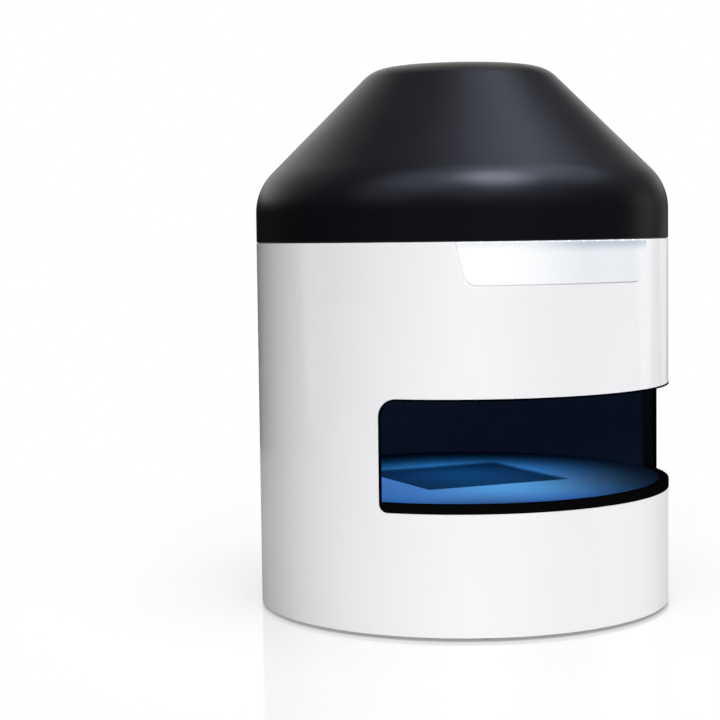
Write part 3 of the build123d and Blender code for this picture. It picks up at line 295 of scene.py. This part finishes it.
# ------------------------------------------------------------------ cover
def add_object(name, data):
    made = bpy.data.objects.new(name, data)
    scene.collection.objects.link(made)
    return made


def turned_skin(name, node):
    """A copy of a turned CAD part whose shading normals point straight out, so no seam shows in its gloss."""
    mesh = nodes[node].data.copy()
    mesh.name = name
    mesh.shade_smooth()
    normals = []
    for corner in mesh.loops:
        normal = mesh.corner_normals[corner.index].vector.copy()
        at = mesh.vertices[corner.vertex_index].co
        sideways = Vector((-at.y, at.x, 0)).normalized()
        lean = normal.dot(sideways)
        if abs(lean) < SEAM_LEAN:
            normal = (normal - lean * sideways).normalized()
        normals.append(normal)
    mesh.normals_split_custom_set(normals)
    return add_object(name, mesh)


cover_skin = turned_skin("cover_skin", "top_cover")
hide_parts("top_cover")
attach(cover_skin, "instrument")


# ------------------------------------------------------------------ camera
def camera_aim(yaw, pitch, roll):
    """The turn of a camera that looks along +Y, then is yawed to its right, pitched down and rolled."""
    forward = Vector((sin(yaw) * cos(pitch), cos(yaw) * cos(pitch), -sin(pitch)))
    level = Vector((cos(yaw), -sin(yaw), 0))
    upright = level.cross(forward)
    right = cos(roll) * level + sin(roll) * upright
    up = cos(roll) * upright - sin(roll) * level
    return Matrix((right, up, -forward)).transposed().to_4x4()


camera = add_object("photo_camera", bpy.data.cameras.new("photo_camera"))
round_axis = Matrix.Rotation(radians(-CAMERA_TURN), 4, "Z")
stand = round_axis @ camera_aim(radians(CAMERA_YAW), radians(CAMERA_PITCH), radians(CAMERA_ROLL))
stand.translation = round_axis @ Vector((0, -CAMERA_DISTANCE, CAMERA_HEIGHT))
camera.matrix_world = stand
camera.data.lens = LENS_MM
camera.data.sensor_width = SENSOR_MM
camera.data.clip_end = 100
scene.camera = camera


# ------------------------------------------------------------------ floor
def floor_white():
    """White and faintly mirroring. To the camera it fades to plain white, and to other rays it is grey."""
    m = Mat("floor_white", (0.74, 0.74, 0.745, 1), 0.05)
    m.roughness(m.noise(6), 0.02)
    seen = m.node("ShaderNodeLightPath").outputs["Is Camera Ray"]
    tone = m.node("ShaderNodeMix", data_type="RGBA")
    tone.inputs[6].default_value = (0.28, 0.28, 0.28, 1)
    tone.inputs[7].default_value = m.color
    m.link(seen, tone.inputs[0])
    m.link(tone.outputs[2], m.shader.inputs["Base Color"])
    radius = m.node("ShaderNodeVectorMath", operation="LENGTH")
    m.link(m.place, radius.inputs[0])
    fade = m.remap(radius.outputs["Value"], 0.3, 1, at=FLOOR_FADE, curve="SMOOTHSTEP")
    white = m.node("ShaderNodeEmission", Color=(1, 1, 1, 1), Strength=1)
    blend = m.node("ShaderNodeMixShader")
    m.link(m.math("MULTIPLY", fade, seen), blend.inputs[0])
    m.link(m.shader.outputs[0], blend.inputs[1])
    m.link(white.outputs[0], blend.inputs[2])
    m.link(blend.outputs[0], m.tree.nodes["Material Output"].inputs["Surface"])
    return m.made


floor_mesh = bpy.data.meshes.new("floor")
disc = bmesh.new()
bmesh.ops.create_circle(disc, cap_ends=True, segments=96, radius=FLOOR_RADIUS)
disc.to_mesh(floor_mesh)
disc.free()
floor_mesh.materials.append(floor_white())
floor = add_object("floor", floor_mesh)


# ------------------------------------------------------------------ world
def backdrop(tree, direction):
    """1 towards the white backdrop behind the object and above the floor, and 0 elsewhere."""
    toward = tree.node("ShaderNodeVectorMath", operation="DOT_PRODUCT")
    toward.inputs[1].default_value = (sin(radians(BACKDROP_TURN)), cos(radians(BACKDROP_TURN)), 0)
    tree.link(direction, toward.inputs[0])
    cone = tree.remap(toward.outputs["Value"], 0, 1, at=[cos(radians(a)) for a in BACKDROP_CONE])
    above_floor = tree.remap(tree.parts(direction)["Z"], 0, 1, at=[sin(radians(a)) for a in BACKDROP_FOOT])
    return tree.math("MULTIPLY", cone, above_floor)


world = bpy.data.worlds.new("studio")
world.use_nodes = True
world.node_tree.nodes.clear()
scene.world = world
sky = Tree(world.node_tree)
ray = sky.node("ShaderNodeLightPath").outputs
in_gloss = sky.math("MULTIPLY", ray["Is Glossy Ray"],
                    backdrop(sky, sky.node("ShaderNodeTexCoord").outputs["Generated"]))
strength = sky.math("MAXIMUM", in_gloss, ray["Is Camera Ray"])
strength = sky.math("MAXIMUM", strength, ray["Is Transmission Ray"])
background = sky.node("ShaderNodeBackground", Color=(1, 1, 1, 1))
sky.link(strength, background.inputs["Strength"])
sky.link(background.outputs[0], sky.node("ShaderNodeOutputWorld").inputs[0])


# ------------------------------------------------------------------ studio lamps
# Each lamp lights one group of pieces only. The strengths of those on the drum and the cover come from
# least-squares fits of rendered lamps to the photograph, changed afterwards.
def group(name, members):
    made = bpy.data.collections.new(name)
    for member in members:
        made.objects.link(member)
    return made


LINER = ("liner_right", "liner_back", "liner_left", "side_sheet")
CHAMBER = LINER + ("stage_plate", "stage_glass", "window_trim", "chamber_ceiling", "ceiling_window",
                   "light_dome")
COVER = ("top_cover", "cover_screws")
lit_liner = group("lit_liners", [nodes[name] for name in LINER])
lit_chamber = group("lit_inside", [nodes[name] for name in CHAMBER])
lit_cover = group("lit_above", [cover_skin, nodes["cover_screws"]])
lit_drum = group("lit_around", [nodes[name] for name in nodes.keys() if name not in CHAMBER + COVER])
lit_floor = group("lit_below", [floor])

NEUTRAL = (1, 1, 1)
COOL = (0.757, 0.80, 1)
WARM = (0.98, 1, 0.86)


def softbox(name, azimuth, elevation, strength, lit, wide=20, color=NEUTRAL):
    """A far, round lamp, wide degrees across. Azimuth goes from the camera's side towards its right."""
    light = bpy.data.lights.new(name, "SUN")
    light.angle = radians(wide)
    light.energy = pi * strength
    light.color = color
    turn = radians(azimuth - CAMERA_TURN)
    rise = radians(elevation)
    toward = Vector((sin(turn) * cos(rise), -cos(turn) * cos(rise), sin(rise)))
    lamp = add_object(name, light)
    lamp.location = toward * SOFTBOX_DISTANCE
    lamp.rotation_euler = toward.to_track_quat("Z", "Y").to_euler()
    lamp.light_linking.receiver_collection = lit


softbox("drum_front", 4, 22, 0.94, lit_drum)
softbox("drum_left", -32, 22, 0.08, lit_drum)
softbox("drum_right", 120, 22, 0.56, lit_drum)
softbox("drum_side", 90, 22, 0.20, lit_drum)
softbox("drum_left_low", -90, 4, 0.05, lit_drum)
softbox("drum_right_low", 120, 4, 0.042, lit_drum)
softbox("drum_rim_low", 150, 4, 0.027, lit_drum)
softbox("drum_back", 180, 56, 0.6, lit_drum)
softbox("drum_back_left", -165, 56, 0.3, lit_drum)

softbox("floor_top", 0, 84, 0.93, lit_floor, wide=60)
softbox("floor_front", 0, 40, 0.60, lit_floor, wide=60)

softbox("cover_key", 30, 59, 1.02, lit_cover, 26, COOL)
softbox("cover_top", 0, 70, 0.12, lit_cover, 36, COOL)
softbox("cover_side", 90, 56, 0.28, lit_cover, 40, COOL)
softbox("cover_side_top", 72, 70, 0.24, lit_cover, 40, COOL)
softbox("cover_left", -30, 56, 0.22, lit_cover, 36, COOL)
softbox("cover_low", 8, 38, 0.14, lit_cover, 40, COOL)
softbox("cover_low_left", -42, 34, 0.14, lit_cover, 40, COOL)
softbox("cover_low_right", 45, 34, 0.07, lit_cover, 40, COOL)
softbox("cover_back_high", 180, 56, 0.12, lit_cover, 40, WARM)
softbox("cover_rim_left", -121, 32, 0.05, lit_cover, 44, WARM)
softbox("cover_rim_right", 122, 32, 0.025, lit_cover, 44, WARM)
softbox("cover_rim_low", 120, 4, 0.018, lit_cover, 20, WARM)
softbox("cover_rim_far_low", 150, 4, 0.008, lit_cover, 20, WARM)


# ------------------------------------------------------------------ chamber lamps
def chamber_lamp(x, y, red, green, blue):
    """A small ceiling lamp, with its watts for each colour."""
    name = "chamber_%+.2f_%+.2f" % (x, y)
    power = max(red, green, blue)
    light = bpy.data.lights.new(name, "AREA")
    light.shape = "DISK"
    light.size = CHAMBER_LAMP_SIZE
    light.spread = radians(CHAMBER_LAMP_SPREAD)
    light.energy = power
    light.color = (red / power, green / power, blue / power)
    lamp = add_object(name, light)
    lamp.location = (x, y, CHAMBER_LAMP_HEIGHT)
    lamp.visible_camera = False
    lamp.light_linking.receiver_collection = lit_chamber


# These watts come from a least-squares fit of rendered lamps to the photograph.
chamber_lamp(0.00, 0.01, 0.136, 0.853, 1.547)
chamber_lamp(0.00, -0.13, 0.197, 0.555, 0.636)
chamber_lamp(-0.16, -0.13, 0.069, 0.282, 0.571)
chamber_lamp(-0.16, 0.01, 0.181, 0.266, 0.475)
chamber_lamp(0.00, -0.20, 0.036, 0.092, 0.368)
chamber_lamp(-0.08, -0.13, 0.112, 0.182, 0.270)
chamber_lamp(0.08, 0.01, 0.019, 0.085, 0.155)
chamber_lamp(0.08, -0.06, 0.070, 0.102, 0.135)

glow = bpy.data.lights.new("chamber_glow", "POINT")
glow.shadow_soft_size = 0.05
glow.energy = 2.3
glow.color = (0.26, 0.43, 1)
glow_lamp = add_object("chamber_glow", glow)
glow_lamp.location = (-0.11, -0.03, 0.205)
glow_lamp.visible_camera = False
glow_lamp.visible_glossy = False
glow_lamp.light_linking.receiver_collection = lit_liner

# ------------------------------------------------------------------ finish
scene.view_settings.view_transform = "Standard"

for piece in nodes.values():
    for polygon in piece.data.polygons:
        polygon.use_smooth = True
